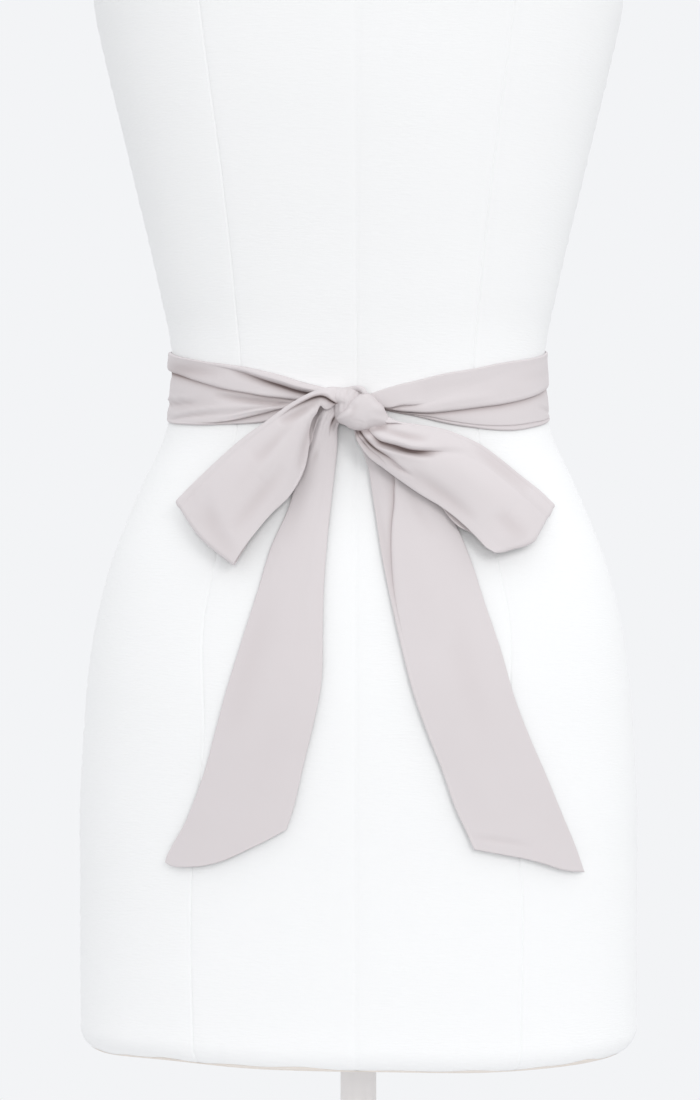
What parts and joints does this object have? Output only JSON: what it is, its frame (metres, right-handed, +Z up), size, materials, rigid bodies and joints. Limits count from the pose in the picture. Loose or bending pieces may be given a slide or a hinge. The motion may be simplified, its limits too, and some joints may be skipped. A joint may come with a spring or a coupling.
{
  "type": "satin sash on a dress form",
  "caption": "Flat satin strip tied round the waist of a limbless dress form in a soft bow with two loops and two slant-cut tails, on a pole stand with a round foot.",
  "frame": {"origin": "on the floor at the middle of the round foot, on the pole's axis", "axes": "+Z up, -Y out of the form's back where the bow is tied, +X to the right of someone who looks at the bow"},
  "size_m": [0.4, 0.4, 1.512],
  "materials": {
    "satin": "soft, low-sheen crepe satin in dusty pink",
    "linen": "plain white woven cover",
    "stand_paint": "off-white satin paint"
  },
  "bodies": {
    "root": {"form_body": "linen", "stand_pole": "stand_paint", "stand_base": "stand_paint", "sash_band": "satin", "sash_knot_wrap": "satin", "sash_knot_face": "satin", "sash_loop_left": "satin", "sash_loop_right": "satin", "sash_tail_left": "satin", "sash_tail_right": "satin"}
  },
  "joints": []
}
